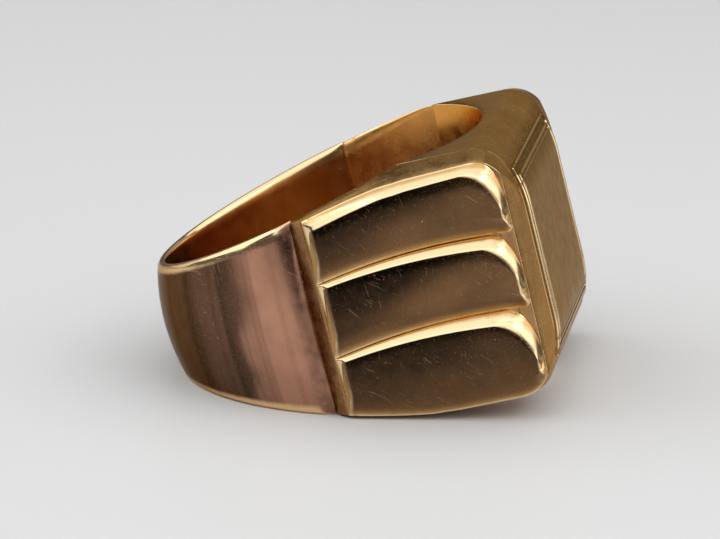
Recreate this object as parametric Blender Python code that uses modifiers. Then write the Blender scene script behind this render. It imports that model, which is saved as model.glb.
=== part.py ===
"""A signet ring, built from the pieces a goldsmith would solder together.

The pieces are drawn in the ring's own axes: X points through the middle of the
table, Z runs along the finger, and the bore's axis is the Z axis. One empty then
leans the whole ring over, so that it lies on the flat side of its tapered band.
"""

import math

import bmesh
import bpy
from mathutils import Vector

MM = 0.001

# Finger hole and lean
BORE_RADIUS = 9.25 * MM
TAPER_ANGLE = math.radians(13.8)

# Shank
SHANK_THICKNESS = 1.0 * MM
SHANK_EDGE_THICKNESS = 0.6 * MM
BACK_WIDTH = 5.9 * MM
EDGE_BEVEL_WIDTH = 0.6 * MM
EDGE_BEVEL_DROP = 0.2 * MM
COMFORT_WIDTH = 0.9 * MM
COMFORT_DEPTH = 0.25 * MM

# Soldered joint between shank and shoulder
JOINT_ANGLE = math.radians(91.7)
JOINT_THICKNESS = 0.5 * MM
JOINT_RUN = 0.9 * MM
SOLDER_SEAM = 0.04 * MM

# Shoulders
HEAD_WIDTH = 13.6 * MM
KNEE_LENGTH = 2.0 * MM
SHOULDER_WALL = 1.1 * MM
SEAT_SLOPE = 0.105
SHOULDER_START = 0.35 * MM
SIDE_FALL = 0.19

# Ribs
RIB_PITCH = 4.1 * MM
RIB_BOW = 0.55 * MM
RIB_BOW_START = 1.2 * MM
RIB_BOW_MIDDLE = 7.2 * MM
RIB_SETBACK = 0.05 * MM
RIB_START_HEIGHT = 0.3 * MM
RIB_END_HEIGHT = 0.62 * MM
RIB_START_BEVEL = 0.26 * MM
RIB_END_BEVEL = 0.62 * MM
RIB_ROLL = 1.2 * MM
RIB_START_SLOPE = 0.3 * MM
RIB_END_SLOPE = 0.3 * MM
RIB_CROWN = 0.06 * MM
RIB_TOP_ROUND = 1.3 * MM
RIB_FOOT_ROUND = 0.8 * MM
RIB_LOW_ROUND = 0.6 * MM

# Head
HEAD_RISE = 2.5 * MM
BAND_RISE = 0.6 * MM
BAND_RUN = 1.68 * MM
FLANGE_THICKNESS = 0.75 * MM
WALL_INSET = 0.05 * MM
TABLE_FLAT = 6.0 * MM
TABLE_CROWN_RADIUS = 6.8 * MM
TABLE_CORNER_RADIUS = 1.8 * MM
LINING_THICKNESS = 0.8 * MM

# Signet plate
PLATE_END_MARGIN = 0.55 * MM
PLATE_SIDE_MARGIN = 1.55 * MM
PLATE_THICKNESS = 0.9 * MM
PLATE_PROUD = 0.14 * MM
PLATE_CHAMFER = 0.12 * MM
PLATE_LEDGE = 0.7 * MM

# Facets and edges
SHANK_STEPS = 36
CROWN_STEPS = 4
COMFORT_STEPS = 3
SHOULDER_STEPS = 8
RIB_STEPS = 6
ROUND_STEPS = 5
BORE_STEPS = 14
CHAMFER_STEPS = 2
SHARP_ANGLE = math.radians(30)
CHAMFER_LIMIT = math.radians(45)

# How far the tools that cut a piece stand out of it
CUT_MARGIN = 1.0 * MM

# Sizes that follow from the ones above
OUTER_RADIUS = BORE_RADIUS + SHANK_THICKNESS
TAPER = math.tan(TAPER_ANGLE)
KNEE = (HEAD_WIDTH - BACK_WIDTH) / 2 / TAPER - OUTER_RADIUS
SEAT_START = BORE_RADIUS + SHOULDER_WALL
ARRIS_HEIGHT = BORE_RADIUS + HEAD_RISE
RIB_START = SHOULDER_START + RIB_SETBACK
RIB_END = ARRIS_HEIGHT - BAND_RISE
FLANGE_FOOT = RIB_END - FLANGE_THICKNESS
ARRIS_LENGTH = 2 * (SEAT_START - SEAT_SLOPE * RIB_END - BAND_RUN)
HEAD_LENGTH = ARRIS_LENGTH - 2 * WALL_INSET
PLATE_LENGTH = ARRIS_LENGTH - 2 * PLATE_END_MARGIN
PLATE_WIDTH = HEAD_WIDTH - 2 * PLATE_SIDE_MARGIN

# Finishes: colour, then roughness
FINISHES = {
    "shank_gold": ((0.62, 0.33, 0.22, 1.0), 0.3),
    "shoulder_gold": ((0.62, 0.40, 0.20, 1.0), 0.3),
    "rib_gold": ((0.66, 0.46, 0.20, 1.0), 0.2),
    "collar_gold": ((0.64, 0.43, 0.20, 1.0), 0.25),
    "lining_gold": ((0.58, 0.30, 0.10, 1.0), 0.35),
    "plate_gold": ((0.74, 0.55, 0.27, 1.0), 0.2),
}


def clear_scene():
    """Remove whatever the file opened with."""
    for thing in list(bpy.data.objects):
        bpy.data.objects.remove(thing, do_unlink=True)


def new_collection(name):
    """Add an empty collection to the scene."""
    collection = bpy.data.collections.new(name)
    bpy.context.scene.collection.children.link(collection)
    return collection


def gold(name):
    """Make one of the ring's finishes."""
    colour, roughness = FINISHES[name]
    material = bpy.data.materials.new(name)
    material.use_nodes = True
    shader = material.node_tree.nodes["Principled BSDF"]
    shader.inputs["Base Color"].default_value = colour
    shader.inputs["Metallic"].default_value = 1.0
    shader.inputs["Roughness"].default_value = roughness
    return material


def lerp(start, end, share):
    """Blend two values."""
    return start + (end - start) * share


def half_width(x):
    """Half the width at x: a flat taper, a rounded knee, parallel sides and a round to the table."""
    tapered = BACK_WIDTH / 2 + TAPER * (x + OUTER_RADIUS)
    widest = HEAD_WIDTH / 2
    into_knee = x - (KNEE - KNEE_LENGTH / 2)
    if into_knee <= 0:
        return tapered
    if into_knee < KNEE_LENGTH:
        return tapered - TAPER * into_knee**2 / (2 * KNEE_LENGTH)
    centre_x, centre_z, angle = table_corner()
    past = x - centre_x
    if past <= 0:
        return widest
    if past < TABLE_CORNER_RADIUS * math.cos(angle):
        return centre_z + math.sqrt(TABLE_CORNER_RADIUS**2 - past**2)
    rise = x - ARRIS_HEIGHT + TABLE_CROWN_RADIUS
    return TABLE_FLAT / 2 + math.sqrt(TABLE_CROWN_RADIUS**2 - rise**2)


def table_corner():
    """Centre of the round at the table's long edge, and the angle at which the crown runs into it."""
    reach = TABLE_CROWN_RADIUS - TABLE_CORNER_RADIUS
    centre_z = HEAD_WIDTH / 2 - TABLE_CORNER_RADIUS
    angle = math.asin((centre_z - TABLE_FLAT / 2) / reach)
    centre_x = ARRIS_HEIGHT - TABLE_CROWN_RADIUS + reach * math.cos(angle)
    return centre_x, centre_z, angle


def seat_y(x):
    """The flat that the ribs are soldered to, as a distance from the middle plane."""
    return SEAT_START - SEAT_SLOPE * x


def seat_point(x, z, lift, side):
    """A point over the ribs' flat, lifted along its normal."""
    length = math.hypot(1.0, SEAT_SLOPE)
    lifted_x = x + lift * SEAT_SLOPE / length
    lifted_y = seat_y(x) + lift / length
    return (lifted_x, side * lifted_y, z)


def outer_half_width(x):
    """Half the width at the ribs' flat, where the side face has fallen away a little."""
    return half_width(x) - SIDE_FALL * (seat_y(x) - shoulder_inner(x))


def shoulder_inner(x):
    """The shoulder's inner side: the bore, then the flat against the head."""
    flat = HEAD_LENGTH / 2 + SOLDER_SEAM
    return max(flat, math.sqrt(max(BORE_RADIUS**2 - x**2, 0.0)))


def add_piece(name, mesh, material, collection, parent):
    """Put a mesh into the scene as one named piece of the ring."""
    mesh.materials.append(material)
    mesh.shade_smooth()
    mesh.set_sharp_from_angle(angle=SHARP_ANGLE)
    piece = bpy.data.objects.new(name, mesh)
    collection.objects.link(piece)
    piece.parent = parent
    return piece


def mesh_from(name, shape):
    """Turn a bmesh into a mesh whose faces point outwards."""
    if shape.calc_volume(signed=True) < 0:
        bmesh.ops.reverse_faces(shape, faces=shape.faces)
    mesh = bpy.data.meshes.new(name)
    shape.to_mesh(mesh)
    shape.free()
    return mesh


def loft(name, sections):
    """Skin a row of closed sections that have the same number of points, and cap both ends."""
    shape = bmesh.new()
    rings = [[shape.verts.new(point) for point in section] for section in sections]
    count = len(rings[0])
    for ring, following in zip(rings, rings[1:]):
        for i in range(count):
            j = (i + 1) % count
            shape.faces.new((ring[i], ring[j], following[j], following[i]))
    shape.faces.new(rings[0][::-1])
    shape.faces.new(rings[-1])
    return mesh_from(name, shape)


def prism(name, outline, direction):
    """Extrude a flat outline along a direction, half of it to each side."""
    half = Vector(direction) / 2
    return loft(name, [[Vector(point) + shift for point in outline] for shift in (-half, half)])


def block(name, low, high):
    """A box between two corners."""
    shape = bmesh.new()
    bmesh.ops.create_cube(shape, size=1.0)
    for vert in shape.verts:
        for axis in range(3):
            vert.co[axis] = low[axis] if vert.co[axis] < 0 else high[axis]
    return mesh_from(name, shape)


def cut(piece, cutter_mesh, operation, cutters):
    """Cut a piece with a hidden tool that moves with it."""
    tool = bpy.data.objects.new(cutter_mesh.name, cutter_mesh)
    cutters.objects.link(tool)
    tool.parent = piece.parent
    tool.hide_render = True
    tool.display_type = "WIRE"
    boolean = piece.modifiers.new(cutter_mesh.name, "BOOLEAN")
    boolean.operation = operation
    boolean.solver = "EXACT"
    boolean.object = tool


def shank_section(angle, thinning):
    """Outline of the band at an angle round the finger, from the bore's middle round over the crown."""
    cosine, sine = math.cos(angle), math.sin(angle)
    centre_thickness = SHANK_THICKNESS * thinning
    edge_thickness = SHANK_EDGE_THICKNESS * thinning
    crown_edge = edge_thickness + EDGE_BEVEL_DROP * thinning
    rim = half_width((BORE_RADIUS + edge_thickness) * cosine)
    upper = []
    for i in range(COMFORT_STEPS + 1):
        turn = math.pi / 2 * i / COMFORT_STEPS
        depth = COMFORT_DEPTH * thinning * (1 - math.cos(turn))
        inset = COMFORT_WIDTH * (1 - math.sin(turn))
        upper.append((depth, half_width((BORE_RADIUS + depth) * cosine) - inset))
    upper.append((edge_thickness, rim))
    for i in range(CROWN_STEPS):
        share = 1 - i / CROWN_STEPS
        thickness = lerp(centre_thickness, crown_edge, share**2)
        upper.append((thickness, (rim - EDGE_BEVEL_WIDTH) * share))
    lower = [(thickness, -z) for thickness, z in reversed(upper)]
    outline = upper + [(centre_thickness, 0.0)] + lower
    return [((BORE_RADIUS + t) * cosine, (BORE_RADIUS + t) * sine, z) for t, z in outline]


def build_shank(material, collection, parent):
    """The tapered band round the back of the finger, thinned to a V at each soldered end."""
    start = JOINT_ANGLE + SOLDER_SEAM / BORE_RADIUS / 2
    end = 2 * math.pi - start
    run = JOINT_RUN / OUTER_RADIUS
    angles = [lerp(start + run, end - run, i / SHANK_STEPS) for i in range(SHANK_STEPS + 1)]
    thin = JOINT_THICKNESS / SHANK_THICKNESS
    sections = [shank_section(start, thin)]
    sections += [shank_section(angle, 1.0) for angle in angles]
    sections.append(shank_section(end, thin))
    add_piece("shank", loft("shank", sections), material, collection, parent)


def shoulder_section(x_inner, x_outer, inner, outer, side):
    """Outline of a shoulder at one station: a wall between the bore and the ribs' flat."""
    share = max(0.0, 1 - max(x_inner, 0.0) / (HEAD_LENGTH / 2))
    depth = COMFORT_DEPTH * share
    width = COMFORT_WIDTH * share
    rim = half_width(x_inner)
    drop = SIDE_FALL * (outer - inner)
    upper = [(inner, rim - width, x_inner), (inner + depth, rim - SIDE_FALL * depth, x_inner)]
    upper.append((outer, half_width(x_outer) - drop, x_outer))
    lower = [(y, -z, x) for y, z, x in reversed(upper)]
    return [(x, side * y, z) for y, z, x in upper + lower]


def build_shoulder(name, side, material, collection, parent):
    """The cheek between the shank and the head, with the flat that carries the ribs."""
    joint = JOINT_ANGLE - SOLDER_SEAM / BORE_RADIUS / 2
    valley = BORE_RADIUS + JOINT_THICKNESS
    cosine, sine = math.cos(joint), math.sin(joint)
    foot = (BORE_RADIUS * cosine, valley * cosine, BORE_RADIUS * sine, valley * sine)
    sections = [shoulder_section(*foot, side)]
    bend = math.sqrt(BORE_RADIUS**2 - (HEAD_LENGTH / 2 + SOLDER_SEAM) ** 2)
    stations = [lerp(SHOULDER_START, bend, i / SHOULDER_STEPS) for i in range(SHOULDER_STEPS + 1)]
    top = FLANGE_FOOT - SOLDER_SEAM
    stations += [lerp(bend, top, (i + 1) / SHOULDER_STEPS) for i in range(SHOULDER_STEPS)]
    for x in stations:
        sections.append(shoulder_section(x, x, shoulder_inner(x), seat_y(x), side))
    add_piece(name, loft(name, sections), material, collection, parent)


def groove_bow(x):
    """How far the grooves between the ribs bow upwards at x."""
    return RIB_BOW * (1 - ((x - RIB_BOW_MIDDLE) / (RIB_BOW_MIDDLE - RIB_BOW_START)) ** 2)


def rib_section(foot_x, top_x, foot, top, height, side):
    """Outline across a rib: a bevel above, a slightly crowned face and a soft roll below."""
    points = [seat_point(foot_x, foot[0], SOLDER_SEAM, side)]
    for i in range(1, CROWN_STEPS + 1):
        share = i / CROWN_STEPS
        lift = height * (1 - (1 - share) ** 2)
        x, z = lerp(foot_x, top_x, share), lerp(foot[0], top[0], share)
        points.append(seat_point(x, z, SOLDER_SEAM + lift, side))
    for i in range(1, CROWN_STEPS + 1):
        share = i / CROWN_STEPS
        lift = height + RIB_CROWN * 4 * share * (1 - share)
        points.append(seat_point(top_x, lerp(top[0], top[1], share), SOLDER_SEAM + lift, side))
    points.append(seat_point(foot_x, foot[1], SOLDER_SEAM, side))
    return points


def build_rib(name, low_edge, high_edge, side, material, collection, parent):
    """A raised strip, bevelled above and rolled below, with a round upper corner at the head."""
    feet = (RIB_START, RIB_END - RIB_FOOT_ROUND)
    tops = (RIB_START + RIB_START_SLOPE, RIB_END - RIB_END_SLOPE - RIB_TOP_ROUND)
    places = [(lerp(*feet, i / RIB_STEPS), lerp(*tops, i / RIB_STEPS), 0.0) for i in range(RIB_STEPS)]
    for i in range(ROUND_STEPS + 1):
        turn = math.pi / 2 * i / ROUND_STEPS
        foot_x = feet[1] + RIB_FOOT_ROUND * math.sin(turn)
        places.append((foot_x, tops[1] + RIB_TOP_ROUND * math.sin(turn), 1 - math.cos(turn)))
    sections = []
    for foot_x, top_x, pull in places:
        along = (top_x - RIB_START) / (RIB_END - RIB_START)
        bevel = lerp(RIB_START_BEVEL, RIB_END_BEVEL, along)
        height = lerp(RIB_START_HEIGHT, RIB_END_HEIGHT, along)
        low_pull = RIB_LOW_ROUND * pull
        foot = (low_edge(foot_x) + low_pull, high_edge(foot_x) - RIB_FOOT_ROUND * pull)
        top = (low_edge(top_x) + RIB_ROLL + low_pull, high_edge(top_x) - bevel - RIB_TOP_ROUND * pull)
        sections.append(rib_section(foot_x, top_x, foot, top, height, side))
    add_piece(name, loft(name, sections), material, collection, parent)


def build_ribs(side_name, side, material, collection, parent):
    """The three ribs of one shoulder."""
    below = (RIB_PITCH - SOLDER_SEAM) / 2
    above = (RIB_PITCH + SOLDER_SEAM) / 2
    edges = {
        "upper": (lambda x: groove_bow(x) + above, outer_half_width),
        "middle": (lambda x: groove_bow(x) - below, lambda x: groove_bow(x) + below),
        "lower": (lambda x: -outer_half_width(x), lambda x: groove_bow(x) - above),
    }
    for place, (low_edge, high_edge) in edges.items():
        build_rib(f"rib_{side_name}_{place}", low_edge, high_edge, side, material, collection, parent)


def table_outline(lift, reach):
    """Profile across the table, edge to edge: flat, then crowned, then rounded at the corners."""
    centre_x, centre_z, angle = table_corner()
    crown_x = ARRIS_HEIGHT - TABLE_CROWN_RADIUS
    half = []
    for i in range(ROUND_STEPS + 1):
        turn = angle * i / ROUND_STEPS
        z = TABLE_FLAT / 2 + TABLE_CROWN_RADIUS * math.sin(turn)
        half.append((crown_x + TABLE_CROWN_RADIUS * math.cos(turn), z))
    for i in range(1, ROUND_STEPS + 1):
        turn = lerp(angle, math.pi / 2, i / ROUND_STEPS)
        z = centre_z + TABLE_CORNER_RADIUS * math.sin(turn)
        half.append((centre_x + TABLE_CORNER_RADIUS * math.cos(turn), z))
    kept = [(x, z) for x, z in half if z < reach]
    whole = [(x, -z) for x, z in reversed(kept)] + kept
    return [(x + lift, z) for x, z in whole]


def crown_height(z):
    """Height of the crowned table above the bore's axis at a distance from its middle."""
    past = max(z - TABLE_FLAT / 2, 0.0)
    return ARRIS_HEIGHT - TABLE_CROWN_RADIUS + math.sqrt(TABLE_CROWN_RADIUS**2 - past**2)


def build_collar(material, collection, parent, cutters):
    """The head's box frame: two walls, a sloped band round the table, a recess and an open middle."""
    half = HEAD_LENGTH / 2
    plan = []
    for i in range(BORE_STEPS + 1):
        y = lerp(-half, half, i / BORE_STEPS)
        plan.append((math.sqrt(BORE_RADIUS**2 - y**2), y, 0.0))
    sloped = [(FLANGE_FOOT, half), (FLANGE_FOOT, seat_y(FLANGE_FOOT)), (RIB_END, seat_y(RIB_END))]
    sloped.append((ARRIS_HEIGHT, ARRIS_LENGTH / 2))
    plan += [(x, y, 0.0) for x, y in sloped]
    plan += [(x, -y, 0.0) for x, y in reversed(sloped)]
    mesh = prism("head_collar", plan, (0, 0, HEAD_WIDTH + CUT_MARGIN))
    collar = add_piece("head_collar", mesh, material, collection, parent)
    profile = table_outline(0.0, HEAD_WIDTH) + [(0.0, HEAD_WIDTH / 2), (0.0, -HEAD_WIDTH / 2)]
    narrowed = 1 - 2 * SIDE_FALL * (SEAT_START - half) / HEAD_WIDTH
    stations = ((-SEAT_START, narrowed), (-half, 1.0), (half, 1.0), (SEAT_START, narrowed))
    form = loft("collar_form", [[(x, y, z * share) for x, z in profile] for y, share in stations])
    cut(collar, form, "INTERSECT", cutters)
    floor = ARRIS_HEIGHT + PLATE_PROUD - PLATE_THICKNESS - SOLDER_SEAM
    recess_y = PLATE_LENGTH / 2 + SOLDER_SEAM
    recess_z = PLATE_WIDTH / 2 + SOLDER_SEAM
    recess_top = ARRIS_HEIGHT + CUT_MARGIN
    recess = block("collar_recess", (floor, -recess_y, -recess_z), (recess_top, recess_y, recess_z))
    cut(collar, recess, "DIFFERENCE", cutters)
    middle_y, middle_z = head_window()
    middle = block("collar_window", (0.0, -middle_y, -middle_z), (recess_top, middle_y, middle_z))
    cut(collar, middle, "DIFFERENCE", cutters)


def head_window():
    """Half sizes of the open middle of the head, inside the ledge that carries the plate."""
    return PLATE_LENGTH / 2 - PLATE_LEDGE, PLATE_WIDTH / 2 - PLATE_LEDGE


def build_lining(material, collection, parent):
    """The curved plate that closes the head towards the finger."""
    window_y, window_z = head_window()
    reach = window_y - SOLDER_SEAM
    stations = [lerp(-reach, reach, i / BORE_STEPS) for i in range(BORE_STEPS + 1)]
    outer = BORE_RADIUS + LINING_THICKNESS
    plan = [(math.sqrt(BORE_RADIUS**2 - y**2), y, 0.0) for y in stations]
    plan += [(math.sqrt(outer**2 - y**2), y, 0.0) for y in reversed(stations)]
    depth = 2 * (window_z - SOLDER_SEAM)
    add_piece("head_lining", prism("head_lining", plan, (0, 0, depth)), material, collection, parent)


def build_plate(material, collection, parent):
    """The table: a plate with a flat middle and gently falling long edges, chamfered all round."""
    half = PLATE_WIDTH / 2
    under = ARRIS_HEIGHT + PLATE_PROUD - PLATE_THICKNESS
    profile = [(x, 0.0, z) for x, z in table_outline(PLATE_PROUD, half)]
    edge = crown_height(half) + PLATE_PROUD
    profile += [(edge, 0.0, half), (under, 0.0, half), (under, 0.0, -half), (edge, 0.0, -half)]
    mesh = prism("signet_plate", profile, (0, PLATE_LENGTH, 0))
    plate = add_piece("signet_plate", mesh, material, collection, parent)
    chamfer = plate.modifiers.new("chamfer", "BEVEL")
    chamfer.width = PLATE_CHAMFER
    chamfer.segments = CHAMFER_STEPS
    chamfer.angle_limit = CHAMFER_LIMIT


def lay_down():
    """An empty that leans the ring onto its taper's flat side, with its middle over the origin."""
    sine, cosine = math.sin(TAPER_ANGLE), math.cos(TAPER_ANGLE)
    edge_radius = BORE_RADIUS + SHANK_EDGE_THICKNESS + EDGE_BEVEL_DROP
    back = -edge_radius * cosine - (BACK_WIDTH / 2 - EDGE_BEVEL_WIDTH) * sine
    crown_x = ARRIS_HEIGHT - TABLE_CROWN_RADIUS
    front = crown_x * cosine + TABLE_FLAT / 2 * sine + TABLE_CROWN_RADIUS + PLATE_PROUD
    ring = bpy.data.objects.new("ring", None)
    ring.rotation_euler = (0.0, -TAPER_ANGLE, 0.0)
    ring.location.x = -(front + back) / 2
    ring.location.z = BACK_WIDTH / 2 * cosine + OUTER_RADIUS * sine
    return ring


def main():
    """Build every piece of the ring."""
    clear_scene()
    collection = new_collection("signet_ring")
    cutters = new_collection("cutters")
    ring = lay_down()
    collection.objects.link(ring)
    shoulder_gold = gold("shoulder_gold")
    rib_gold = gold("rib_gold")
    build_shank(gold("shank_gold"), collection, ring)
    for side_name, side in (("left", -1), ("right", 1)):
        build_shoulder(f"shoulder_{side_name}", side, shoulder_gold, collection, ring)
        build_ribs(side_name, side, rib_gold, collection, ring)
    build_collar(gold("collar_gold"), collection, ring, cutters)
    build_lining(gold("lining_gold"), collection, ring)
    build_plate(gold("plate_gold"), collection, ring)


main()
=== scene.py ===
"""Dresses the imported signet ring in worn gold, on a pale table under soft studio light.

Every piece is drawn in the ring's own axes: X points through the middle of the table,
Z runs along the finger, and the bore's axis is the Z axis. A finished piece is then
leaned over onto the flat side of the band's taper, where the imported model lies.
"""

import logging
import math
from collections.abc import Callable, Iterator, Sequence
from contextlib import contextmanager
from dataclasses import dataclass
from enum import Enum
from functools import reduce

import bmesh
import bpy
from mathutils import Matrix, Vector


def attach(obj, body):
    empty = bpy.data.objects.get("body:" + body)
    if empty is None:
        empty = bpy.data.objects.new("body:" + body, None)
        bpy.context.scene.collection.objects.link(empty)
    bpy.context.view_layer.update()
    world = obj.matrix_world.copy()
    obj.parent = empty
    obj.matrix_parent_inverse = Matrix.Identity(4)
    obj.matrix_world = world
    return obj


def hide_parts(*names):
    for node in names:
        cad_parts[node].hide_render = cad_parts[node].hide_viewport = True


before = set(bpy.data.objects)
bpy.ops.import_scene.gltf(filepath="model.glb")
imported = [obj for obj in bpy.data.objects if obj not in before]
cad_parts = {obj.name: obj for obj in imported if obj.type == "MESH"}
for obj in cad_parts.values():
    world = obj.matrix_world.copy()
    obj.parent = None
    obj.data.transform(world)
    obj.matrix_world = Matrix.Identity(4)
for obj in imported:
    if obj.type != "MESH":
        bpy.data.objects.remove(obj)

MM = 0.001
PER_MM = 1000.0
BODY = "root"
LOG = logging.getLogger("signet_ring")

# Meshes: the distance at which points are one, the sides of a skin's plain faces, the edges that
# show a fan's centre, the strips of a rounded edge, and the angles from which an edge is rounded
# or drawn sharp
WELD = 1e-7
QUAD_SIDES = 4
FAN_EDGES = 12
ROUND_SEGMENTS = 3
SHARP = math.radians(26)
SMOOTH = math.radians(34)

# Wear: the edge angle at which gold is fully rubbed, and how much less is rubbed where a wide
# face starts, which is a face so many times larger than its neighbour
FULLY_RUBBED = math.radians(24)
WIDE_FACE = 3.0
OUTSIDE_SHARE = 0.2

# The bore: how far from its axis its surface reaches, how softly it ends, and how squarely a
# surface faces the finger before it counts
BORE_REACH = 9.6 * MM
BORE_FADE = 1.05
BORE_FACING = (0.3, 0.8)

# Marks in the gold: a hairline's width in millimetres, and how softly a mark starts
HAIRLINE_WIDTH = 0.05
MARK_SOFTNESS = 0.05

# Places of a Mix node's sockets, where several share a name
MIX_VALUES = (2, 3)
MIX_COLOURS = (6, 7)
MIXED_COLOUR = 2

Point = tuple[float, float, float]
Colour = tuple[float, float, float]
Span = tuple[float, float]
MarkedPoint = tuple[Point, float, float, float]
MarkRule = Callable[[Vector, Vector], float]
Curve = Callable[[float], float]
Socket = bpy.types.NodeSocket


class Side(Enum):
    """The two shoulders, by the sign of their Y."""

    LEFT = -1
    RIGHT = 1


class Mark(Enum):
    """What a surface carries at a vertex, each stored as a mesh attribute."""

    RUBBED = "rubbed"
    # Grime and painted shade, which darken the gold towards a dark colour
    GRIME = "grime"
    # Painted warm reflection: the orange glow of gold reflecting gold
    WARM = "warm"
    TURN = "turn"


class RibPlace(Enum):
    """A shoulder's ribs, from the top of the standing ring down."""

    UPPER = "upper"
    MIDDLE = "middle"
    LOWER = "lower"


def lerp(start: float, end: float, share: float) -> float:
    """Blend two values by a share of the second."""
    return start + (end - start) * share


def between(start: Sequence[float], end: Sequence[float], share: float) -> tuple[float, ...]:
    """Blend two points, or two rows of sizes."""
    return tuple(lerp(a, b, share) for a, b in zip(start, end))


def ease(value: float, low: float, high: float) -> float:
    """Rise smoothly from 0 at low to 1 at high."""
    share = min(max((value - low) / (high - low), 0.0), 1.0)
    return share * share * (3 - 2 * share)


def spread(start: float, end: float, steps: int) -> list[float]:
    """Evenly spaced values from start to end, both included."""
    return [lerp(start, end, i / steps) for i in range(steps + 1)]


def deselect_all() -> None:
    """Leave nothing selected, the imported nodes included."""
    bpy.ops.object.select_all(action="DESELECT")


def make_active(piece: bpy.types.Object) -> None:
    """Select one piece alone and make it the active one.

    Args:
        piece: The piece that operators then act on.
    """
    deselect_all()
    piece.select_set(True)
    bpy.context.view_layer.objects.active = piece


@contextmanager
def editing(piece: bpy.types.Object) -> Iterator[None]:
    """Open a piece in edit mode for as long as the block runs.

    Args:
        piece: The mesh object to edit.
    """
    make_active(piece)
    bpy.ops.object.mode_set(mode="EDIT")
    try:
        yield
    finally:
        bpy.ops.object.mode_set(mode="OBJECT")


def apply_modifier(piece: bpy.types.Object, kind: str, **settings: object) -> None:
    """Add a modifier, set it up and apply it.

    Args:
        piece: The object that gets it.
        kind: Blender's type name of the modifier.
        **settings: The modifier's properties by name.
    """
    make_active(piece)
    modifier = piece.modifiers.new(kind.lower(), kind)
    for name, value in settings.items():
        setattr(modifier, name, value)
    bpy.ops.object.modifier_apply(modifier=modifier.name)


def fan_ends(mesh: bpy.types.Mesh) -> None:
    """Split the many-sided end faces into fans, whose centres carry the mean marks of their rims.

    Args:
        mesh: The mesh, open in edit mode.
    """
    bpy.ops.mesh.select_face_by_sides(number=QUAD_SIDES, type="GREATER", extend=False)
    bpy.ops.mesh.poke()
    shape = bmesh.from_edit_mesh(mesh)
    for centre in (vert for vert in shape.verts if len(vert.link_edges) > FAN_EDGES):
        rim = [edge.other_vert(centre) for edge in centre.link_edges]
        for layer in shape.verts.layers.float.values():
            centre[layer] = sum(vert[layer] for vert in rim) / len(rim)
    bmesh.update_edit_mesh(mesh)


def bridge_sections(
    name: str,
    sections: Sequence[Sequence[Point]],
    marks: dict[Mark, list[list[float]]] | None = None,
    fanned: bool = False,
) -> bpy.types.Object:
    """Skin a row of closed section loops and close both ends.

    Args:
        name: The new object's name.
        sections: The loops in order, all with the same number of points.
        marks: What each point carries, in the same order.
        fanned: Whether each end is closed by a fan of triangles, for loops that aren't flat.

    Returns:
        The closed mesh object, with its faces pointing outwards.
    """
    count = len(sections[0])
    points = [point for section in sections for point in section]
    rows = range(len(sections))
    edges = [(row * count + i, row * count + (i + 1) % count) for row in rows for i in range(count)]
    mesh = bpy.data.meshes.new(name)
    mesh.from_pydata(points, edges, [])
    for mark, values in (marks or {}).items():
        layer = mesh.attributes.new(mark.value, "FLOAT", "POINT")
        layer.data.foreach_set("value", [value for section in values for value in section])
    piece = bpy.data.objects.new(name, mesh)
    bpy.context.scene.collection.objects.link(piece)
    with editing(piece):
        bpy.ops.mesh.select_mode(type="EDGE")
        for row in rows[1:]:
            bpy.ops.mesh.select_all(action="DESELECT")
            shape = bmesh.from_edit_mesh(mesh)
            shape.edges.ensure_lookup_table()
            for edge in shape.edges[(row - 1) * count : (row + 1) * count]:
                edge.select_set(True)
            bmesh.update_edit_mesh(mesh)
            bpy.ops.mesh.bridge_edge_loops()
        bpy.ops.mesh.select_all(action="SELECT")
        bpy.ops.mesh.remove_doubles(threshold=WELD)
        bpy.ops.mesh.fill_holes(sides=0)
        if fanned:
            fan_ends(mesh)
        bpy.ops.mesh.select_all(action="SELECT")
        bpy.ops.mesh.normals_make_consistent(inside=False)
    return piece


def soften_edges(piece: bpy.types.Object, width: float, sharp: float = SHARP) -> None:
    """Round the sharp edges of a piece as polishing does.

    Args:
        piece: The piece to soften.
        width: Width of the rounded strip.
        sharp: Angle from which an edge counts as sharp.
    """
    settings = {"segments": ROUND_SEGMENTS, "limit_method": "ANGLE", "angle_limit": sharp}
    apply_modifier(piece, "BEVEL", width=width, **settings)


def mark_points(piece: bpy.types.Object, mark: Mark, rule: MarkRule) -> None:
    """Store a mark on every vertex by its place and normal, where it is above what is there.

    Args:
        piece: The piece, still in the ring's own axes.
        mark: What is stored.
        rule: Gives the value from the place and the normal.
    """
    mesh = piece.data
    layer = mesh.attributes.get(mark.value) or mesh.attributes.new(mark.value, "FLOAT", "POINT")
    for vert in mesh.vertices:
        slot = layer.data[vert.index]
        slot.value = max(slot.value, rule(vert.co, vert.normal))


def mark_rubbed_edges(piece: bpy.types.Object) -> None:
    """Store how far each vertex stands on an outward edge, where wear keeps the gold bright.

    Args:
        piece: The finished piece.
    """
    shape = bmesh.new()
    shape.from_mesh(piece.data)
    name = Mark.RUBBED.value
    layer = shape.verts.layers.float.get(name) or shape.verts.layers.float.new(name)
    for vert in shape.verts:
        sharpest = max((edge.calc_face_angle_signed(0.0) for edge in vert.link_edges), default=0.0)
        areas = [face.calc_area() for face in vert.link_faces]
        inside = max(areas) < WIDE_FACE * min(areas)
        rubbed = min(sharpest / FULLY_RUBBED, 1.0) * (1.0 if inside else OUTSIDE_SHARE)
        vert[layer] = max(vert[layer], rubbed)
    shape.to_mesh(piece.data)
    shape.free()


def facing_bore(place: Vector, normal: Vector) -> float:
    """How squarely a surface in the bore faces the finger.

    Args:
        place: A point in the ring's own axes.
        normal: The surface's normal there.

    Returns:
        1 in the bore, falling to 0 on its edges and outside it.
    """
    outward = Vector((place.x, place.y, 0.0))
    near = 1 - ease(outward.length, BORE_REACH, BORE_FADE * BORE_REACH)
    return near * ease(-normal.dot(outward.normalized()), *BORE_FACING)


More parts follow.
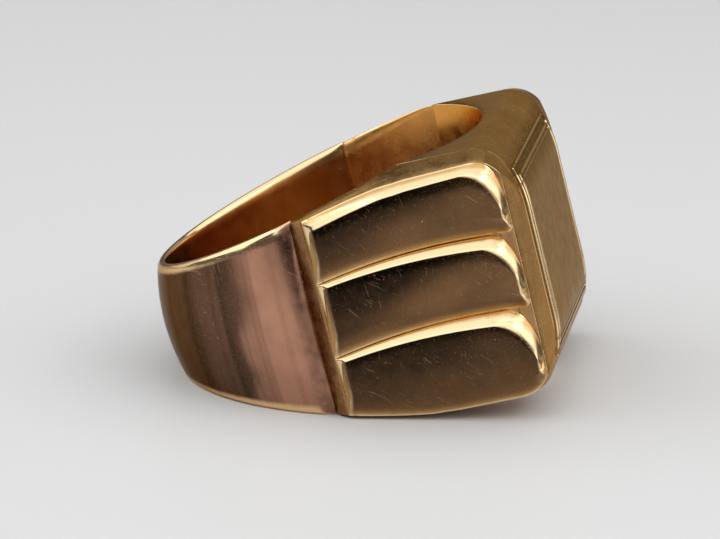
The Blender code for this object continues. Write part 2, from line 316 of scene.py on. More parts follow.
@dataclass(frozen=True)
class RingForm:
    """The ring's main sizes, and the shapes that several pieces share."""

    bore_radius: float = 9.25 * MM
    taper_angle: float = math.radians(13.8)
    shank_thickness: float = 1.0 * MM
    shank_edge_thickness: float = 0.6 * MM
    edge_bevel_width: float = 0.6 * MM
    edge_bevel_drop: float = 0.2 * MM
    back_width: float = 5.9 * MM
    comfort_width: float = 0.9 * MM
    comfort_depth: float = 0.25 * MM
    joint_angle: float = math.radians(91.7)
    joint_thickness: float = 0.5 * MM
    head_width: float = 13.6 * MM
    knee_length: float = 2.0 * MM
    shoulder_wall: float = 1.1 * MM
    shoulder_start: float = 0.35 * MM
    seat_slope: float = 0.105
    side_fall: float = 0.19
    head_rise: float = 2.5 * MM
    band_rise: float = 0.6 * MM
    band_run: float = 1.68 * MM
    flange_thickness: float = 0.75 * MM
    wall_inset: float = 0.05 * MM
    table_flat: float = 6.0 * MM
    table_crown_radius: float = 6.8 * MM
    table_corner_radius: float = 1.8 * MM
    plate_proud: float = 0.14 * MM

    @property
    def outer_radius(self) -> float:
        """Radius of the shank's crown."""
        return self.bore_radius + self.shank_thickness

    @property
    def arris_height(self) -> float:
        """Height of the table over the bore's axis."""
        return self.bore_radius + self.head_rise

    @property
    def band_foot(self) -> float:
        """Height at which the ribs end and the sloped band round the table starts."""
        return self.arris_height - self.band_rise

    @property
    def flange_foot(self) -> float:
        """Height of the flange's underside."""
        return self.band_foot - self.flange_thickness

    @property
    def arris_reach(self) -> float:
        """Distance of the table's short edges from its middle."""
        return self.seat_y(self.band_foot) - self.band_run

    @property
    def wall_reach(self) -> float:
        """Distance of the head's outer walls from its middle."""
        return self.arris_reach - self.wall_inset

    @property
    def table_corner(self) -> tuple[float, float, float]:
        """The round between the head's side and the table's crown.

        Returns:
            The height and the distance along the finger of the round's centre, and the angle at
            which the crown meets it.
        """
        reach = self.table_crown_radius - self.table_corner_radius
        centre_z = self.head_width / 2 - self.table_corner_radius
        angle = math.asin((centre_z - self.table_flat / 2) / reach)
        crown_centre = self.arris_height - self.table_crown_radius
        return crown_centre + reach * math.cos(angle), centre_z, angle

    def half_width(self, x: float) -> float:
        """Half the ring's width: the taper, the knee at its upper end, then the head.

        Args:
            x: Height over the bore's axis.

        Returns:
            The distance from the ring's middle to its side.
        """
        taper = math.tan(self.taper_angle)
        tapered = self.back_width / 2 + taper * (x + self.outer_radius)
        knee = (self.head_width - self.back_width) / 2 / taper - self.outer_radius
        into_knee = x - (knee - self.knee_length / 2)
        if into_knee <= 0:
            return tapered
        if into_knee < self.knee_length:
            return tapered - taper * into_knee**2 / (2 * self.knee_length)
        return self.table_half_width(x)

    def table_half_width(self, x: float) -> float:
        """Half the head's width: the parallel sides, the corner round, then the crown.

        Args:
            x: Height over the bore's axis.

        Returns:
            The distance from the head's middle to its side.
        """
        centre_x, centre_z, angle = self.table_corner
        past = x - centre_x
        if past <= 0:
            return self.head_width / 2
        if past < self.table_corner_radius * math.cos(angle):
            return centre_z + math.sqrt(self.table_corner_radius**2 - past**2)
        rise = x - self.arris_height + self.table_crown_radius
        return self.table_flat / 2 + math.sqrt(max(self.table_crown_radius**2 - rise**2, 0.0))

    def seat_y(self, x: float) -> float:
        """Distance of the ribs' flat from the middle plane."""
        return self.bore_radius + self.shoulder_wall - self.seat_slope * x

    def seat_point(self, x: float, z: float, lift: float, side: Side) -> Point:
        """A point over the ribs' flat.

        Args:
            x: Height over the bore's axis.
            z: Place along the finger.
            lift: Distance from the flat along its normal.
            side: The shoulder that it is on.

        Returns:
            The point in the ring's own axes.
        """
        length = math.hypot(1.0, self.seat_slope)
        lifted_x = x + lift * self.seat_slope / length
        lifted_y = self.seat_y(x) + lift / length
        return lifted_x, side.value * lifted_y, z

    def shoulder_inner(self, x: float) -> float:
        """The shoulder's inner side: the bore, then the flat against the head."""
        return max(self.wall_reach, math.sqrt(max(self.bore_radius**2 - x**2, 0.0)))

    def outer_half_width(self, x: float) -> float:
        """Half the width at the ribs' flat, where the side face has fallen away a little."""
        return self.half_width(x) - self.side_fall * (self.seat_y(x) - self.shoulder_inner(x))

    @property
    def centre(self) -> Vector:
        """The middle of the bore, once the ring is leaned over.

        Returns:
            Its place, with the ring's box centred over the origin and its lowest edge at zero.
        """
        sine, cosine = math.sin(self.taper_angle), math.cos(self.taper_angle)
        edge_radius = self.bore_radius + self.shank_edge_thickness + self.edge_bevel_drop
        back = -edge_radius * cosine - (self.back_width / 2 - self.edge_bevel_width) * sine
        crown_x = self.arris_height - self.table_crown_radius
        half_flat = self.table_flat / 2
        front = crown_x * cosine + half_flat * sine + self.table_crown_radius + self.plate_proud
        height = self.back_width / 2 * cosine + self.outer_radius * sine
        return Vector((-(front + back) / 2, 0.0, height))

    def lay_down(self, piece: bpy.types.Object) -> None:
        """Lean a piece onto the flat side of the taper and leave its place in its mesh.

        Args:
            piece: A piece in the ring's own axes.
        """
        make_active(piece)
        piece.rotation_euler = (0.0, -self.taper_angle, 0.0)
        piece.location = self.centre
        bpy.ops.object.transform_apply(location=True, rotation=True, scale=True)


@dataclass(frozen=True)
class Cloud:
    """A cloudy noise: its clouds to a millimetre, how ragged they are and the span of it in use."""

    scale: float
    detail: float
    span: Span


@dataclass(frozen=True)
class HairlineSet:
    """Hairlines that run one way: their turn, their length in millimetres and how few they are."""

    turn: Point
    length: float
    share: float


@dataclass(frozen=True)
class NickSet:
    """Nicks of one size: cells to a millimetre, a nick's radius in one and how few hold one."""

    scale: float
    radius: float
    share: float


class NodeSheet:
    """Lays shader nodes on a material and joins them."""

    def __init__(self, material: bpy.types.Material) -> None:
        """Open a material's node tree.

        Args:
            material: The material that the nodes are laid on.
        """
        material.use_nodes = True
        self.tree = material.node_tree
        self.shader = self.tree.nodes["Principled BSDF"]

    def add(self, kind: str, inputs: dict[str | int, object], **settings: object) -> bpy.types.Node:
        """Add one node.

        Args:
            kind: The node's type, without its ShaderNode prefix.
            inputs: Values or sockets for its inputs, by name or place.
            **settings: The node's own properties.

        Returns:
            The new node.
        """
        node = self.tree.nodes.new("ShaderNode" + kind)
        for name, value in settings.items():
            setattr(node, name, value)
        for name, value in inputs.items():
            self.feed(node.inputs[name], value)
        return node

    def feed(self, target: Socket, value: object) -> None:
        """Join a socket to an input, or set the input's own value.

        Args:
            target: The input.
            value: A socket, or a plain value.
        """
        if isinstance(value, Socket):
            self.tree.links.new(value, target)
        else:
            target.default_value = value

    def millimetres(self) -> Socket:
        """The object's own coordinates, in millimetres."""
        inputs = {0: self.add("TexCoord", {}).outputs["Object"], "Scale": PER_MM}
        return self.add("VectorMath", inputs, operation="SCALE").outputs["Vector"]

    def mark(self, mark: Mark) -> Socket:
        """A value that the mesh carries."""
        return self.add("Attribute", {}, attribute_name=mark.value).outputs["Fac"]

    def noise(self, vector: Socket, scale: float, detail: float) -> Socket:
        """Cloudy noise over a vector."""
        inputs = {"Vector": vector, "Scale": scale, "Detail": detail}
        return self.add("TexNoise", inputs).outputs["Fac"]

    def remap(self, value: Socket, low: float, high: float, to: Span = (0.0, 1.0)) -> Socket:
        """Stretch a span of a value to another one, with soft ends.

        Args:
            value: The value.
            low: Where the span in use starts.
            high: Where it ends.
            to: The span that it is stretched to.

        Returns:
            The stretched value, which stays inside its span.
        """
        spans = {"From Min": low, "From Max": high, "To Min": to[0], "To Max": to[1]}
        node = self.add("MapRange", {"Value": value, **spans}, interpolation_type="SMOOTHSTEP")
        return node.outputs["Result"]

    def cloud(self, vector: Socket, cloud: Cloud, to: Span = (0.0, 1.0)) -> Socket:
        """Cloudy noise whose span in use is stretched to another one."""
        return self.remap(self.noise(vector, cloud.scale, cloud.detail), *cloud.span, to)

    def sum(self, operation: str, first: object, second: object) -> Socket:
        """Work out one sum on two values."""
        return self.add("Math", {0: first, 1: second}, operation=operation).outputs["Value"]

    def highest(self, values: Sequence[Socket]) -> Socket:
        """The highest of several values."""
        return reduce(lambda first, second: self.sum("MAXIMUM", first, second), values)

    def mix(self, share: Socket, first: object, second: object) -> Socket:
        """Mix two plain values."""
        inputs = {"Factor": share, MIX_VALUES[0]: first, MIX_VALUES[1]: second}
        return self.add("Mix", inputs).outputs["Result"]

    def blend(self, share: Socket, first: Socket | Colour, second: Socket | Colour) -> Socket:
        """Mix two colours.

        Args:
            share: Share of the second colour.
            first: The colour at a share of 0.
            second: The colour at a share of 1.

        Returns:
            The mixed colour.
        """
        node = self.add("Mix", {"Factor": share}, data_type="RGBA")
        for place, value in zip(MIX_COLOURS, (first, second)):
            self.feed(node.inputs[place], (*value, 1.0) if isinstance(value, tuple) else value)
        return node.outputs[MIXED_COLOUR]

    def hairlines(self, vector: Socket, lines: HairlineSet) -> Socket:
        """Sparse fine lines that run one way.

        Args:
            vector: The coordinates that they follow, in millimetres.
            lines: Their direction, length and share.

        Returns:
            1 on a line and 0 elsewhere.
        """
        size = (lines.length, HAIRLINE_WIDTH, HAIRLINE_WIDTH)
        inputs = {"Vector": vector, "Rotation": lines.turn, "Scale": size}
        along = self.add("Mapping", inputs, vector_type="TEXTURE").outputs["Vector"]
        return self.remap(self.noise(along, 1.0, 0.0), lines.share, lines.share + MARK_SOFTNESS)


@dataclass(frozen=True)
class ReflectionBands:
    """Painted streaks and a painted highlight by the joints of a band, in millimetres round it."""

    scale: float = 0.7
    detail: float = 2.5
    span: Span = (0.32, 0.56)
    floor: float = 0.25
    highlight_end: Span = (3.1, 4.7)
    beyond_highlight: float = 0.17
    patch_floor: float = 0.75
    wander: Cloud = Cloud(0.4, 0.5, (0.3, 0.7))
    wander_reach: float = 0.4

    def share(self, sheet: NodeSheet, place: Socket, patches: Socket) -> Socket:
        """How much of the gold's plain colour shows, as painted reflection streaks and highlight.

        Args:
            sheet: Where the nodes are laid.
            place: The object's coordinates, in millimetres.
            patches: The patches of the gold without its bands.

        Returns:
            The share, from 0 in the darkest streak to 1.
        """
        inputs = {"W": sheet.mark(Mark.TURN), "Scale": self.scale, "Detail": self.detail}
        reflection_streaks = sheet.add("TexNoise", inputs, noise_dimensions="1D").outputs["Fac"]
        wander = sheet.cloud(place, self.wander, (-self.wander_reach, self.wander_reach))
        turn = sheet.sum("ADD", sheet.mark(Mark.TURN), wander)
        # A painted highlight by the joints, giving way to painted shade further round
        highlight = sheet.remap(turn, *self.highlight_end, (1.0, self.beyond_highlight))
        patchy = sheet.remap(patches, 0.0, 1.0, (self.patch_floor, 1.0))
        highlighted = sheet.sum("MULTIPLY", patchy, highlight)
        return sheet.sum("MULTIPLY", highlighted, sheet.remap(reflection_streaks, *self.span, (self.floor, 1.0)))


@dataclass(frozen=True)
class GoldFinish:
    """Worn gold: dulled faces, rubbed edges, hairlines, nicks, painted shade and painted
    reflections.
    """

    name: str
    # Dark end of the gold's patches, and the painted shade of the shank's reflection bands
    tarnish_and_shade: Colour
    body: Colour
    rubbed: Colour
    roughness: float
    rough_shares: Span = (0.8, 1.25)
    rubbed_roughness: float = 0.14
    gloss: Cloud = Cloud(1.3, 3.0, (0.25, 0.75))
    edge_tint: Colour = (0.9, 0.68, 0.4)
    # Colour of the painted warm reflection
    warm: Colour = (0.62, 0.34, 0.11)
    patch_scale: float = 0.25
    patch_detail: float = 5.0
    patch_span: Span = (0.36, 0.64)
    reflection_bands: ReflectionBands | None = None
    grain: float = 0.12
    grains: Cloud = Cloud(16.0, 2.0, (0.5, 0.8))
    # Dark colour that grime and painted shade mix the gold towards
    grime: Colour = (0.11, 0.05, 0.023)
    broken_grime: float = 0.55
    grime_breaks: Cloud = Cloud(1.6, 4.0, (0.3, 0.7))
    hairline_sets: tuple[HairlineSet, ...] = (
        HairlineSet((0.0, 0.5, 0.2), 2.2, 0.77),
        HairlineSet((0.0, -0.7, 1.1), 3.2, 0.775),
        HairlineSet((0.3, 1.3, -0.5), 3.2, 0.775),
        HairlineSet((0.2, -0.2, -0.8), 3.2, 0.775),
    )
    hairline_share: float = 0.22
    drift_scale: float = 0.35
    drift_detail: float = 1.0
    nick_sets: tuple[NickSet, ...] = (NickSet(0.5, 0.07, 0.6), NickSet(2.4, 0.035, 0.86))
    nick_share: float = 0.5
    nick_core: float = 0.4
    nick_depth: float = 3.0
    ripple_scale: float = 2.5
    ripple_detail: float = 2.0
    ripple_height: float = 0.5
    rubbed_relief: float = 0.15
    relief: float = 0.01 * MM
    relief_strength: float = 0.6
    edge_breaks: Cloud = Cloud(2.0, 3.0, (0.25, 0.75))
    edge_break_span: Span = (0.9, 1.1)
    grime_and_shade_span: Span = (0.15, 0.85)
    grime_and_shade_share: float = 0.1
    rubbed_span: Span = (0.15, 0.85)

    def material(self) -> bpy.types.Material:
        """Build the finish as a node material.

        Returns:
            The new material.
        """
        material = bpy.data.materials.new(self.name)
        sheet = NodeSheet(material)
        inputs, place = sheet.shader.inputs, sheet.millimetres()
        hairlines, nicks = self.hairlines(sheet, place), self.nicks(sheet, place)
        worn = self.worn_share(sheet, place)
        # Hairlines and nicks lighten the colour to rubbed gold: scratches through the tarnish, with
        # painted glints on the nicks
        marks = sheet.highest((sheet.sum("MULTIPLY", hairlines, self.hairline_share), nicks))
        colour = sheet.blend(marks, self.colour(sheet, place), self.rubbed)
        sheet.feed(inputs["Base Color"], sheet.blend(worn, colour, self.rubbed))
        inputs["Metallic"].default_value = 1.0
        inputs["Specular Tint"].default_value = (*self.edge_tint, 1.0)
        smooth, coarse = (share * self.roughness for share in self.rough_shares)
        cloudy = sheet.cloud(place, self.gloss, (smooth, coarse))
        sheet.feed(inputs["Roughness"], sheet.mix(worn, cloudy, self.rubbed_roughness))
        ripple = sheet.noise(place, self.ripple_scale, self.ripple_detail)
        height = sheet.sum("SUBTRACT", sheet.sum("MULTIPLY", ripple, self.ripple_height), hairlines)
        height = sheet.sum("SUBTRACT", height, sheet.sum("MULTIPLY", nicks, self.nick_depth))
        even = sheet.highest((worn, sheet.mark(Mark.WARM)))
        kept = sheet.remap(even, 0.0, 1.0, (1.0, self.rubbed_relief))
        height = sheet.sum("MULTIPLY", height, kept)
        bumps = {"Height": height, "Distance": self.relief, "Strength": self.relief_strength}
        sheet.feed(inputs["Normal"], sheet.add("Bump", bumps).outputs["Normal"])
        return material

    def colour(self, sheet: NodeSheet, place: Socket) -> Socket:
        """The dulled gold off the edges: patchy, grained, with painted warm reflection, grime and
        painted shade.

        Args:
            sheet: Where the nodes are laid.
            place: The object's coordinates, in millimetres.

        Returns:
            The colour.
        """
        tone_and_reflection = sheet.cloud(place, Cloud(self.patch_scale, self.patch_detail, self.patch_span))
        # On the shank, painted reflection bands and a painted highlight set the share of plain
        # colour
        if self.reflection_bands:
            tone_and_reflection = self.reflection_bands.share(sheet, place, tone_and_reflection)
        colour = sheet.blend(tone_and_reflection, self.tarnish_and_shade, self.body)
        grains = sheet.cloud(place, self.grains, (0.0, self.grain))
        colour = sheet.blend(grains, colour, self.rubbed)
        # Painted warm reflection
        colour = sheet.blend(sheet.mark(Mark.WARM), colour, self.warm)
        # Darkening by grime and by painted shade, broken up a little
        breaks = sheet.cloud(place, self.grime_breaks, (self.broken_grime, 1.0))
        shade_and_grime = sheet.sum("MULTIPLY", sheet.mark(Mark.GRIME), breaks)
        return sheet.blend(shade_and_grime, colour, self.grime)

    def hairlines(self, sheet: NodeSheet, place: Socket) -> Socket:
        """Fine scratches in several directions, slightly curved.

        Args:
            sheet: Where the nodes are laid.
            place: The object's coordinates, in millimetres.

        Returns:
            1 on a scratch and 0 elsewhere.
        """
        inputs = {"Vector": place, "Scale": self.drift_scale, "Detail": self.drift_detail}
        drift = sheet.add("TexNoise", inputs).outputs["Color"]
        bent = sheet.add("VectorMath", {0: place, 1: drift}, operation="ADD").outputs["Vector"]
        return sheet.highest([sheet.hairlines(bent, lines) for lines in self.hairline_sets])

    def nicks(self, sheet: NodeSheet, place: Socket) -> Socket:
        """Tiny scattered dents and specks, of several sizes.

        Args:
            sheet: Where the nodes are laid.
            place: The object's coordinates, in millimetres.

        Returns:
            How deep the nick is, and 0 elsewhere.
        """
        found = []
        for nicks in self.nick_sets:
            cells = sheet.add("TexVoronoi", {"Vector": place, "Scale": nicks.scale})
            radius = nicks.radius * nicks.scale
            near = sheet.remap(cells.outputs["Distance"], radius, self.nick_core * radius)
            limits = (nicks.share, nicks.share + MARK_SOFTNESS)
            chosen = sheet.remap(cells.outputs["Color"], *limits, (0.0, self.nick_share))
            found.append(sheet.sum("MULTIPLY", near, chosen))
        return sheet.highest(found)

    def worn_share(self, sheet: NodeSheet, place: Socket) -> Socket:
        """How bright the gold is rubbed, broken up a little along the edges.

        Args:
            sheet: Where the nodes are laid.
            place: The object's coordinates, in millimetres.

        Returns:
            The share of rubbed gold.
        """
        broken = sheet.cloud(place, self.edge_breaks, self.edge_break_span)
        clean = sheet.remap(sheet.mark(Mark.GRIME), *self.grime_and_shade_span, (1.0, self.grime_and_shade_share))
        rubbed = sheet.sum("MULTIPLY", sheet.mark(Mark.RUBBED), clean)
        return sheet.remap(sheet.sum("MULTIPLY", rubbed, broken), *self.rubbed_span)


@dataclass
class Shank:
    """The tapered band round the back of the finger."""

    form: RingForm
    finish: GoldFinish
    edge_round: float = 0.08 * MM
    stations: int = 100
    joint_steps: int = 8
    crown_steps: int = 10
    comfort_steps: int = 12
    joint_run: float = 1.1 * MM
    rim_thickness: float = 0.46 * MM
    rim_bevel_width: float = 0.2 * MM
    rim_bevel_drop: float = 0.15 * MM
    sharp: float = math.radians(33)
    grime_depth: float = 0.85
    grime_fade: Span = (0.3, 1.3)
    rim_tilt: Span = (0.35, 0.5)
    rim_clean: float = 0.75
    rim_wear: float = 0.6
    comfort_facing: Span = (0.02, 0.2)
    comfort_tilt: Span = (0.12, 0.35)

    def section(self, angle: float, thinning: float) -> list[Point]:
        """Outline of the band at an angle round the finger.

        Args:
            angle: The angle round the bore's axis.
            thinning: Share of the full thickness that is left there.

        Returns:
            The outline, from the bore's upper edge over the crown to its lower edge.
        """
        form = self.form
        cosine, sine = math.cos(angle), math.sin(angle)
        middle = form.shank_thickness * thinning
        edge = self.rim_thickness * thinning
        shoulder = edge + self.rim_bevel_drop * thinning
        rim = form.half_width((form.bore_radius + edge) * cosine)
        upper = []
        for turn in spread(0.0, math.pi / 2, self.comfort_steps):
            depth = form.comfort_depth * thinning * (1 - math.cos(turn))
            inset = form.comfort_width * (1 - math.sin(turn))
            upper.append((depth, form.half_width((form.bore_radius + depth) * cosine) - inset))
        upper.append((edge, rim))
        for share in spread(1.0, 0.0, self.crown_steps)[:-1]:
            upper.append((lerp(middle, shoulder, share**2), (rim - self.rim_bevel_width) * share))
        lower = [(thickness, -z) for thickness, z in reversed(upper)]
        outline = [(form.bore_radius + t, z) for t, z in (*upper, (middle, 0.0), *lower)]
        return [(radius * cosine, radius * sine, z) for radius, z in outline]

    def build(self) -> bpy.types.Object:
        """Skin the band from joint to joint, drawn in to a V at each end.

        Returns:
            The dressed band.
        """
        form = self.form
        start = form.joint_angle
        run = self.joint_run / form.outer_radius
        thin = form.joint_thickness / form.shank_thickness
        angles = spread(start, start + run, self.joint_steps)[:-1]
        angles += spread(start + run, math.pi, self.stations)
        angles += [2 * math.pi - angle for angle in reversed(angles[:-1])]
        sections = []
        for angle in angles:
            into = min(angle - start, 2 * math.pi - start - angle) / run
            sections.append(self.section(angle, lerp(1.0, thin, max(1 - into, 0.0) ** 2)))
        piece = bridge_sections("shank_band", sections)
        soften_edges(piece, self.edge_round, self.sharp)
        mark_points(piece, Mark.TURN, self.turn)
        # Painted shade towards the joints, and a painted warm reflection in the bore
        mark_points(piece, Mark.GRIME, self.joint_grime)
        mark_points(piece, Mark.WARM, facing_bore)
        mark_points(piece, Mark.RUBBED, self.comfort_wear)
        piece.data.materials.append(self.finish.material())
        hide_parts("shank")
        return piece

    def turn(self, place: Vector, normal: Vector) -> float:
        """Length round the band from its joint, in millimetres."""
        angle = abs(math.atan2(place.y, place.x)) - self.form.joint_angle
        return angle * self.form.outer_radius * PER_MM

    def joint_grime(self, place: Vector, normal: Vector) -> float:
        """Painted shade towards the soldered joint, where the band draws in to its V, on the
        outside.

        Args:
            place: A point of the band.
            normal: The surface's normal there.

        Returns:
            How deep the painted shade is.
        """
        fade = [share * self.joint_run for share in self.grime_fade]
        into = ease(self.turn(place, normal) * MM, *fade)
        rim = 1 - self.rim_clean * ease(abs(normal.z), *self.rim_tilt)
        return self.grime_depth * (1 - into) * rim * (1 - facing_bore(place, normal))

    def comfort_wear(self, place: Vector, normal: Vector) -> float:
        """Bright gold on the rims and on the rounded edges of the bore.

        Args:
            place: A point of the band.
            normal: The surface's normal there.

        Returns:
            How far it is rubbed.
        """
        outward = Vector((place.x, place.y, 0.0)).normalized()
        inward, tilt = -normal.dot(outward), abs(normal.z)
        comfort = ease(inward, *self.comfort_facing) * ease(tilt, *self.comfort_tilt)
        return max(comfort, self.rim_wear * ease(tilt, *self.rim_tilt))


@dataclass(frozen=True)
class RibShape:
    """What sets one rib of a shoulder apart from the others.

    The corner is the round where the rib's face turns down at the head, and the foot corner is
    the same round at its foot, each as a length and a fall. The shade is painted shade: how dark
    the face is at the rib's start and at its end.
    """

    start_bevel: float
    end_bevel: float
    corner: Span
    foot_corner: Span
    shade: Span


RIB_SHAPES = {
    RibPlace.UPPER: RibShape(
        start_bevel=0.64 * MM,
        end_bevel=0.36 * MM,
        corner=(1.9 * MM, 1.75 * MM),
        foot_corner=(0.85 * MM, 1.3 * MM),
        shade=(0.9, 0.25),
    ),
    RibPlace.MIDDLE: RibShape(
        start_bevel=0.26 * MM,
        end_bevel=0.68 * MM,
        corner=(1.6 * MM, 1.9 * MM),
        foot_corner=(1.4 * MM, 2.4 * MM),
        shade=(1.0, 0.0),
    ),
    RibPlace.LOWER: RibShape(
        start_bevel=0.26 * MM,
        end_bevel=0.8 * MM,
        corner=(1.9 * MM, 2.0 * MM),
        foot_corner=(1.6 * MM, 2.4 * MM),
        shade=(0.9, 0.6),
    ),
}


@dataclass(frozen=True)
class RibRow:
    """Where a rib is cut: its foot and its face, and how far the cut is round the upper corner."""

    foot_x: float
    top_x: float
    reach: float = 0.0
    fall: float = 0.0


@dataclass(frozen=True)
class RibStation:
    """One cross-section of a rib: foot and face ends, height, wear, painted shade and reflection.
    """

    row: RibRow
    foot: Span
    top: Span
    height: float
    along: float
    worn: float
    warm: float
    shade: Span


@dataclass(frozen=True)
class RibWear:
    """A rib's rubbed gold, painted shade and painted warm reflection, from roll over face to bevel.
    """

    start_core: float = 0.4
    start_rubbed: float = 0.5
    cap_warm: float = 0.6
    end_rubbed: float = 0.35
    end_dim: float = 0.6
    end_dim_start: float = 0.75
    foot_grime: float = 0.6
    roll_end: float = 0.4
    roll_painted_light: float = 0.4
    roll_warm: float = 0.7
    roll_shade: float = 0.75
    roll_shade_start: float = 0.1
    face_low: float = 0.75
    face_deep: float = 0.6
    shade_slant: float = 0.45
    shade_fade: Span = (0.32, 0.8)
    edge_bright: float = 0.6
    wall_start: float = 0.55
    wall_reflection_share: float = 0.7
    bevel_fade: Span = (0.15, 0.95)
    bevel_reflection_share: float = 0.8
    seam_rubbed: float = 0.2

    def shade(self, station: RibStation, share: float) -> float:
        """Painted shade: how dark a face is at a share of its width, fading along a slanting line.
        """
        reach = station.along - self.shade_slant * (share - 0.5)
        return lerp(*station.shade, ease(reach, *self.shade_fade))

    def dim(self, station: RibStation) -> float:
        """Painted shade over the bevel where it runs out at the rib's end."""
        return self.end_dim * ease(station.row.reach, self.end_dim_start, 1.0)


@dataclass
class Shoulder:
    """One cheek between the shank and the head, with its ribs."""

    form: RingForm
    side: Side
    cheek_finish: GoldFinish
    rib_finish: GoldFinish
    steps: int = 24
    comfort_steps: int = 12
    rib_pitch: float = 4.1 * MM
    rib_setback: float = 0.05 * MM
    bow: float = 0.55 * MM
    bow_start: float = 1.2 * MM
    bow_middle: float = 7.2 * MM
    start_height: float = 0.3 * MM
    end_height: float = 0.62 * MM
    start_slope: float = 0.3 * MM
    end_slope: float = 0.25 * MM
    roll: float = 1.2 * MM
    end_roll: float = 0.4 * MM
    roll_drop: float = 0.75
    crown: float = 0.1 * MM
    edge_round: float = 0.09 * MM
    pillow: float = 0.8 * MM
    low_round: float = 0.4 * MM
    cheek_round: float = 0.06 * MM
    start_run: float = 0.3 * MM
    start_fall: float = 0.35
    start_cap: float = 0.04 * MM
    start_round: float = 0.06 * MM
    end_run: float = 0.14 * MM
    end_fall: float = 0.3
    rib_steps: int = 36
    start_steps: int = 9
    corner_steps: int = 18
    roll_steps: int = 10
    face_steps: int = 10
    edge_steps: int = 8
    sink: float = 0.05 * MM
    bevel_crown: float = 0.03 * MM
    bevel_steps: int = 6
    pillow_share: float = 0.8
    edge_share: Span = (0.4, 0.8)
    joint_shares: tuple[float, ...] = (0.0, 0.3, 0.6, 0.8, 0.92)
    valley_grime: float = 0.8
    valley_fade: Span = (-0.1 * MM, 0.3 * MM)
    wear: RibWear = RibWear()

    def cheek_section(
        self, x_inner: float, x_outer: float, inner: float, outer: float
    ) -> list[Point]:
        """Outline of the cheek at one station, as a wall between the bore and the ribs' flat.

        Args:
            x_inner: Height of the wall's inner side.
            x_outer: Height of its outer side.
            inner: Distance of its inner side from the middle plane.
            outer: Distance of its outer side.

        Returns:
            The outline, from the bore's upper edge round the outside to its lower edge.
        """
        form = self.form
        share = max(0.0, 1 - max(x_inner, 0.0) / form.wall_reach)
        depth, width = form.comfort_depth * share, form.comfort_width * share
        rim = form.half_width(x_inner)
        upper = []
        for turn in spread(0.0, math.pi / 2, self.comfort_steps):
            into = depth * (1 - math.cos(turn))
            z = rim - width * (1 - math.sin(turn)) - form.side_fall * into
            upper.append((inner + into, z, x_inner))
        drop = form.side_fall * (outer - inner)
        upper.append((outer, form.half_width(x_outer) - drop, x_outer))
        lower = [(y, -z, x) for y, z, x in reversed(upper)]
        return [(x, self.side.value * y, z) for y, z, x in upper + lower]

    def build_cheek(self) -> bpy.types.Object:
        """Skin the cheek from the soldered joint up to the head's flange.

        Returns:
            The dressed cheek.
        """
        form = self.form
        joint = form.joint_angle
        valley = form.bore_radius + form.joint_thickness
        cosine, sine = math.cos(joint), math.sin(joint)
        bore = form.bore_radius
        foot = (bore * cosine, valley * cosine, bore * sine, valley * sine)
        first = form.shoulder_start
        top = (first, first, form.shoulder_inner(first), form.seat_y(first))
        sections = [self.cheek_section(*between(foot, top, share)) for share in self.joint_shares]
        bend = math.sqrt(bore**2 - form.wall_reach**2)
        heights = spread(form.shoulder_start, bend, self.steps)
        heights += spread(bend, form.flange_foot, self.steps)[1:]
        for x in heights:
            sections.append(self.cheek_section(x, x, form.shoulder_inner(x), form.seat_y(x)))
        name = self.side.name.lower()
        piece = bridge_sections(f"cheek_{name}", sections)
        soften_edges(piece, self.cheek_round)
        # Painted shade in the valley at the joint, and a painted warm reflection in the bore
        mark_points(piece, Mark.GRIME, self.joint_grime)
        mark_points(piece, Mark.WARM, facing_bore)
        piece.data.materials.append(self.cheek_finish.material())
        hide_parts(f"shoulder_{name}")
        return piece

    def groove_bow(self, x: float) -> float:
        """How far the grooves between the ribs bow upwards at x."""
        return self.bow * (1 - ((x - self.bow_middle) / (self.bow_middle - self.bow_start)) ** 2)

    def rib_edges(self, place: RibPlace) -> tuple[Curve, Curve]:
        """The two edges of a rib.

        Args:
            place: Which rib of the shoulder it is.

        Returns:
            Its lower and its upper edge, each as a function of x.
        """
        half = self.rib_pitch / 2
        outer = self.form.outer_half_width
        if place is RibPlace.UPPER:
            return lambda x: self.groove_bow(x) + half, outer
        if place is RibPlace.MIDDLE:
            return lambda x: self.groove_bow(x) - half, lambda x: self.groove_bow(x) + half
        return lambda x: -outer(x), lambda x: self.groove_bow(x) - half

    @property
    def rib_ends(self) -> Span:
        """Heights at which the ribs start and end."""
        return self.form.shoulder_start + self.rib_setback, self.form.band_foot

    def rib_rows(self, shape: RibShape) -> list[RibRow]:
        """Where a rib is cut, close together at its start and round its upper corner.

        Args:
            shape: The rib's own sizes.

        Returns:
            The cuts from the rib's start to its end.
        """
        start, end = self.rib_ends
        feet = (start, end - shape.foot_corner[0])
        tops = (start + self.start_slope, end - self.end_slope - shape.corner[0])
        first = self.start_run / (tops[1] - tops[0])
        turns = spread(0.0, math.pi / 2, self.start_steps)
        shares = [first * (1 - math.cos(turn)) for turn in turns]
        shares += spread(first, 1.0, self.rib_steps)[1:-1]
        rows = [RibRow(lerp(*feet, share), lerp(*tops, share)) for share in shares]
        for turn in spread(0.0, math.pi / 2, self.corner_steps):
            reach, fall = math.sin(turn), 1 - math.cos(turn)
            foot_x = feet[1] + shape.foot_corner[0] * reach
            rows.append(RibRow(foot_x, tops[1] + shape.corner[0] * reach, reach, fall))
        return rows

